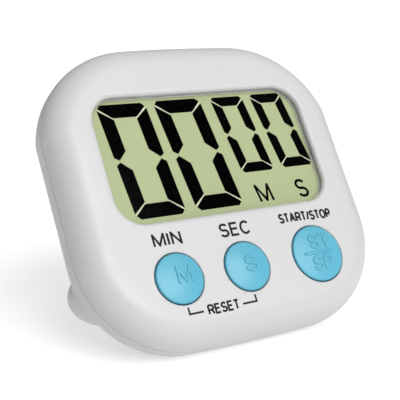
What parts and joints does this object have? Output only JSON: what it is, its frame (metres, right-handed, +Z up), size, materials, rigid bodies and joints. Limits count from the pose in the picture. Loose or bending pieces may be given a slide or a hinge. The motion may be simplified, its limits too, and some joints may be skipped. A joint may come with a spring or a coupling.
{
  "type": "digital countdown timer",
  "caption": "Rounded square countdown timer with a large display, round push buttons, a battery ridge and a magnetic fold-out stand.",
  "frame": {"origin": "centre of the bounding box at the level of the surface that the timer stands on", "axes": "+X across the front to the reader's right, +Z up; the display faces -Y and leans back"},
  "size_m": [0.072, 0.046, 0.0602],
  "materials": {
    "case_white": "satin moulded ABS",
    "button_blue": "satin moulded ABS",
    "lens_clear": "polished clear acrylic",
    "lcd_film": "green-grey polarising film",
    "lcd_glass": "clear",
    "frame_black": "matt",
    "rubber_grey": "silicone rubber",
    "zebra_rubber": "striped silicone rubber",
    "carbon": "carbon-filled rubber",
    "board_green": "solder mask",
    "epoxy_black": "cast resin",
    "chip_tan": "sintered",
    "spring_steel": "nickel plated",
    "buzzer_brass": "satin",
    "buzzer_white": "silvered ceramic",
    "wire_red": "PVC insulation",
    "wire_black": "PVC insulation",
    "battery_can": "printed sleeve over a steel can",
    "magnet_nickel": "nickel plated",
    "screw_steel": "zinc plated"
  },
  "bodies": {
    "case": {"front_case": "case_white", "back_case": "case_white", "window_lens": "lens_clear", "lcd_polariser": "lcd_film", "lcd_front_glass": "lcd_glass", "lcd_rear_glass": "lcd_glass", "lcd_reflector": "lcd_film", "lcd_frame": "frame_black", "zebra_strip": "zebra_rubber", "main_pcb": "board_green", "chip_cover": "epoxy_black", "crystal": "spring_steel", "smd_parts": "chip_tan", "dome_min": "rubber_grey", "dome_sec": "rubber_grey", "dome_start": "rubber_grey", "buzzer_plate": "buzzer_brass", "buzzer_ceramic": "buzzer_white", "buzzer_wires": "wire_red", "battery": "battery_can", "battery_spring": "spring_steel", "battery_plate": "spring_steel", "battery_wire_black": "wire_black", "battery_wire_red": "wire_red", "stand_pin": "screw_steel", "case_screws": "screw_steel", "pcb_screws": "screw_steel"},
    "minutes_button": {"button_min": "button_blue", "pill_min": "carbon"},
    "seconds_button": {"button_sec": "button_blue", "pill_sec": "carbon"},
    "start_button": {"button_start": "button_blue", "pill_start": "carbon"},
    "battery_door": {"battery_door": "case_white"},
    "stand": {"stand": "case_white", "magnet": "magnet_nickel"}
  },
  "joints": [
    {"name": "minutes_press", "type": "slide", "parent": "case", "child": "minutes_button", "axis": [0, 0.8387, -0.5446], "range_m": [0, 0.0008], "stiffness_N_per_m": 1200, "springref_m": -0.0004, "deforming": ["dome_min"]},
    {"name": "seconds_press", "type": "slide", "parent": "case", "child": "seconds_button", "axis": [0, 0.8387, -0.5446], "range_m": [0, 0.0008], "stiffness_N_per_m": 1200, "springref_m": -0.0004, "deforming": ["dome_sec"]},
    {"name": "start_press", "type": "slide", "parent": "case", "child": "start_button", "axis": [0, 0.8387, -0.5446], "range_m": [0, 0.0008], "stiffness_N_per_m": 1200, "springref_m": -0.0004, "deforming": ["dome_start"]},
    {"name": "door_slide", "type": "slide", "parent": "case", "child": "battery_door", "axis": [1, 0, 0], "range_m": [0, 0.05]},
    {"name": "stand_hinge", "type": "hinge", "parent": "case", "child": "stand", "pos_m": [0, 0.00302, 0.02122], "axis": [1, 0, 0], "range_deg": [0, 105.19]}
  ]
}
